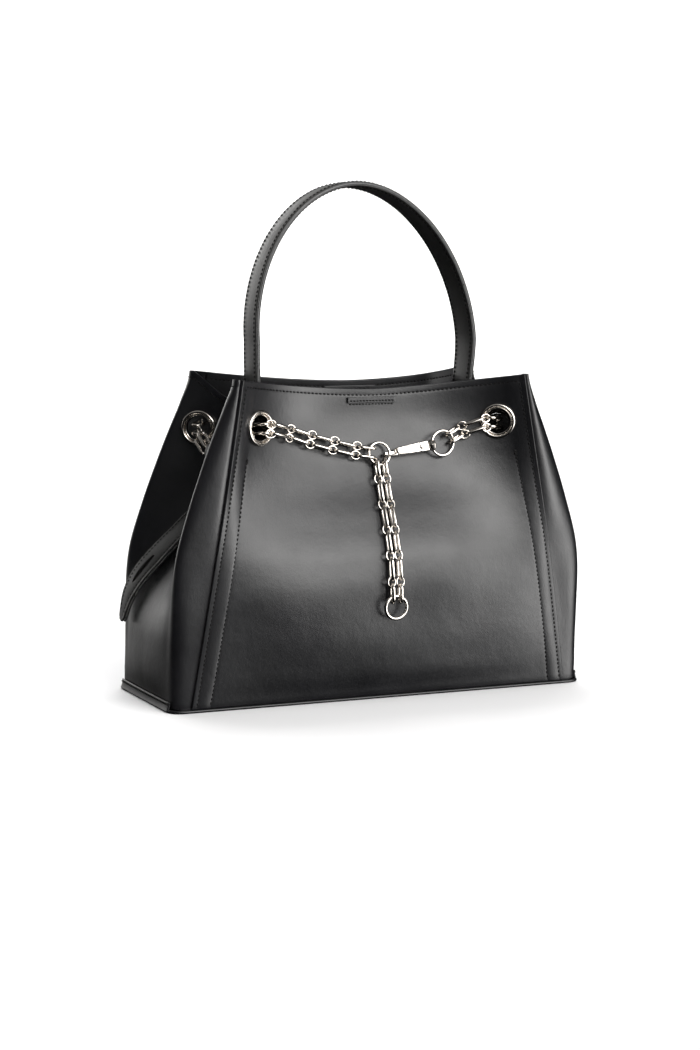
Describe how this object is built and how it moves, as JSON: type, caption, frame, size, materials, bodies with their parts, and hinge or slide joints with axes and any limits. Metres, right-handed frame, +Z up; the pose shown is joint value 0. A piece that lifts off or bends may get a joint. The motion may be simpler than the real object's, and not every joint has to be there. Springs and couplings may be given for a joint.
{
  "type": "top handle bag",
  "caption": "Black leather top handle bag whose mouth is cinched by a chain run through eyelets, with a bolt clasp, a hanging chain end and a leather tag.",
  "frame": {"origin": "the middle of the base, on the ground", "axes": "+Z up, the front of the bag with the clasp and the hanging chain faces -Y, and the tag hangs on the -X side"},
  "size_m": [0.3231, 0.1406, 0.3618],
  "materials": {
    "body_leather": "smooth black calf leather with a soft sheen",
    "trim_leather": "smooth black leather, stitched",
    "lining_cloth": "dark woven cotton twill",
    "stiffening_board": "grey fibre board",
    "chain_metal": "polished pale plated metal",
    "washer_metal": "plain stamped steel",
    "magnet_steel": "satin magnet cap"
  },
  "bodies": {
    "bag": {"back_facing": "trim_leather", "back_left_eyelet": "chain_metal", "back_left_eyelet_washer": "washer_metal", "back_magnet": "magnet_steel", "back_magnet_patch": "trim_leather", "back_panel": "body_leather", "back_right_eyelet": "chain_metal", "back_right_eyelet_washer": "washer_metal", "base_board": "stiffening_board", "base_panel": "body_leather", "centre_ring": "chain_metal", "chain_back": "chain_metal", "chain_front_left": "chain_metal", "chain_front_right": "chain_metal", "chain_left_fold": "chain_metal", "chain_right_fold": "chain_metal", "front_facing": "trim_leather", "front_left_eyelet": "chain_metal", "front_left_eyelet_washer": "washer_metal", "front_magnet": "magnet_steel", "front_magnet_patch": "trim_leather", "front_panel": "body_leather", "front_right_eyelet": "chain_metal", "front_right_eyelet_washer": "washer_metal", "front_welt": "trim_leather", "handle_rivet_left": "chain_metal", "handle_rivet_right": "chain_metal", "left_back_fold_eyelet": "chain_metal", "left_back_fold_eyelet_washer": "washer_metal", "left_base_band": "trim_leather", "left_front_fold_eyelet": "chain_metal", "left_front_fold_eyelet_washer": "washer_metal", "left_gusset": "body_leather", "lining": "lining_cloth", "right_back_fold_eyelet": "chain_metal", "right_back_fold_eyelet_washer": "washer_metal", "right_base_band": "trim_leather", "right_front_fold_eyelet": "chain_metal", "right_front_fold_eyelet_washer": "washer_metal", "right_gusset": "body_leather"},
    "handle": {"handle_inner_strap": "body_leather", "handle_outer_strap": "body_leather"},
    "hanging_chain_upper": {"drop_chain_upper": "chain_metal"},
    "hanging_chain_middle": {"drop_chain_middle": "chain_metal"},
    "hanging_chain_lower": {"drop_chain_lower": "chain_metal"},
    "hanging_ring": {"drop_end_ring": "chain_metal"},
    "clasp": {"clasp_body": "chain_metal"},
    "clasp_slide": {"clasp_bolt": "chain_metal"},
    "swivel": {"clasp_swivel": "chain_metal"},
    "swivel_ring": {"clasp_ring": "chain_metal"},
    "tag": {"tag_back_ply": "body_leather", "tag_front_ply": "body_leather", "tag_loop": "body_leather"}
  },
  "joints": [
    {"name": "handle_swing", "type": "hinge", "parent": "bag", "child": "handle", "pos_m": [0, -0.01193, 0.186], "axis": [1, 0, 0], "range_deg": [-20, 20]},
    {"name": "hanging_chain_swing", "type": "hinge", "parent": "bag", "child": "hanging_chain_upper", "pos_m": [0.0019, -0.04751, 0.16392], "axis": [-1, 0, 0], "range_deg": [0, 45]},
    {"name": "middle_links_bend", "type": "hinge", "parent": "hanging_chain_upper", "child": "hanging_chain_middle", "pos_m": [0.0019, -0.05602, 0.14127], "axis": [-1, 0, 0], "range_deg": [0, 20]},
    {"name": "lower_links_bend", "type": "hinge", "parent": "hanging_chain_middle", "child": "hanging_chain_lower", "pos_m": [0.00191, -0.06984, 0.10697], "axis": [-1, 0, 0], "range_deg": [0, 20]},
    {"name": "end_ring_swing", "type": "hinge", "parent": "hanging_chain_lower", "child": "hanging_ring", "pos_m": [0.00191, -0.07495, 0.07449], "axis": [-1, 0, 0], "range_deg": [-8, 24]},
    {"name": "clasp_turn", "type": "hinge", "parent": "bag", "child": "clasp", "pos_m": [0.0098, -0.04568, 0.1716], "axis": [0.9827, -0.1014, 0.1548], "range_deg": [-5, 5]},
    {"name": "clasp_bolt_slide", "type": "slide", "parent": "clasp", "child": "clasp_slide", "axis": [0.9827, -0.1014, 0.1548], "range_m": [0, 0.004], "stiffness_N_per_m": 60, "springref_m": -0.004},
    {"name": "swivel_turn", "type": "hinge", "parent": "bag", "child": "swivel", "pos_m": [0.04105, -0.0489, 0.17652], "axis": [0.9827, -0.1014, 0.1548], "range_deg": [-5, 5]},
    {"name": "swivel_ring_spin", "type": "hinge", "parent": "swivel", "child": "swivel_ring", "pos_m": [0.04973, -0.04827, 0.1778], "axis": [0.072, -0.9974, 0], "continuous": true},
    {"name": "tag_swing", "type": "hinge", "parent": "bag", "child": "tag", "pos_m": [-0.10692, -0.00881, 0.17165], "axis": [-0.1629, 0.9866, -0.0057], "range_deg": [0, 45]}
  ]
}
